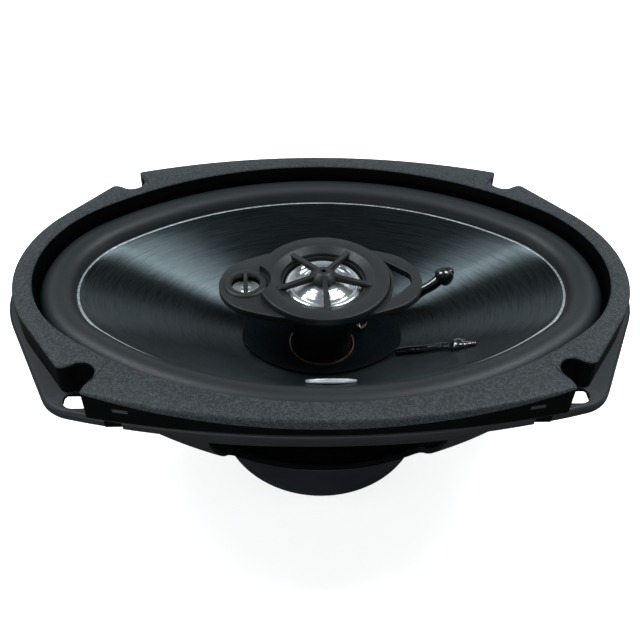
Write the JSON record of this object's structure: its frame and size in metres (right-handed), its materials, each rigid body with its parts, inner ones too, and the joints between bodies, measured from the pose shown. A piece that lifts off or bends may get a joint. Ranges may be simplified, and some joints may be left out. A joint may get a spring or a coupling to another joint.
{
  "type": "coaxial car speaker",
  "caption": "Oval coaxial car speaker: a woofer cone in a steel basket, with a tweeter bridge held on a post above it, a magnet in a rubber boot, and slotted mounting ears.",
  "frame": {"origin": "centre of the mounting slots, on the plane the flange is screwed against", "axes": "+X along the long axis towards the terminals, +Z out of the cone, towards the listener"},
  "size_m": [0.2384, 0.158, 0.092],
  "materials": {
    "painted_steel": "satin black electrocoat",
    "foam": "matte",
    "ring_plastic": "fine leather grain",
    "surround_rubber": "semi-matte",
    "cone_film": "brushed metallic film",
    "felt": "matte",
    "former_foil": "satin",
    "copper_wire": "enamelled copper",
    "black_glue": "glossy",
    "badge_silver": "satin silver",
    "damper_cloth": "matte",
    "moulded_plastic": "satin",
    "zinc_plate": "zinc plated",
    "ferrite": "matte",
    "neodymium": "nickel plated",
    "boot_rubber": "satin",
    "plated_steel": "bright",
    "mirror_film": "mirror metallised film",
    "piezo_brass": "satin",
    "fibre_board": "matte",
    "tinned_brass": "tin plated",
    "tinsel_braid": "braided copper tinsel",
    "capacitor_sleeve": "glossy sleeve"
  },
  "bodies": {
    "frame": {"basket": "painted_steel", "rear_gasket": "foam", "trim_ring": "ring_plastic", "surround": "surround_rubber", "spider": "damper_cloth", "spider_ring": "moulded_plastic", "top_plate": "zinc_plate", "magnet": "ferrite", "pole_yoke": "zinc_plate", "magnet_boot": "boot_rubber", "basket_rivets": "plated_steel", "post_screw": "plated_steel", "tweeter_post": "moulded_plastic", "tweeter_bridge": "moulded_plastic", "tweeter_bezel": "moulded_plastic", "tweeter_cup": "zinc_plate", "tweeter_magnet": "neodymium", "tweeter_pole_disc": "zinc_plate", "tweeter_frame": "moulded_plastic", "super_tweeter_bezel": "moulded_plastic", "super_tweeter_piezo": "piezo_brass", "terminal_board": "fibre_board", "terminal_positive": "tinned_brass", "terminal_negative": "tinned_brass", "terminal_rivets": "plated_steel", "tinsel_leads": "tinsel_braid", "crossover_capacitor": "capacitor_sleeve", "capacitor_leads": "plated_steel"},
    "cone_assembly": {"cone": "cone_film", "dust_ring": "felt", "voice_coil_former": "former_foil", "voice_coil": "copper_wire", "lead_glue": "black_glue", "lead_tails": "copper_wire", "cone_badge": "badge_silver"},
    "tweeter_dome": {"tweeter_coil": "copper_wire", "tweeter_diaphragm": "mirror_film"},
    "super_tweeter_dome": {"super_tweeter_diaphragm": "mirror_film"}
  },
  "joints": [
    {"name": "cone_travel", "type": "slide", "parent": "frame", "child": "cone_assembly", "axis": [0, 0, 1], "range_m": [-0.005, 0.005], "stiffness_N_per_m": 3000, "deforming": ["surround", "spider", "tinsel_leads"]},
    {"name": "tweeter_travel", "type": "slide", "parent": "frame", "child": "tweeter_dome", "axis": [0, 0, 1], "range_m": [-0.0003, 0.0003], "stiffness_N_per_m": 500},
    {"name": "super_tweeter_travel", "type": "slide", "parent": "frame", "child": "super_tweeter_dome", "axis": [0, 0, 1], "range_m": [-0.0001, 0.0001], "stiffness_N_per_m": 500}
  ]
}
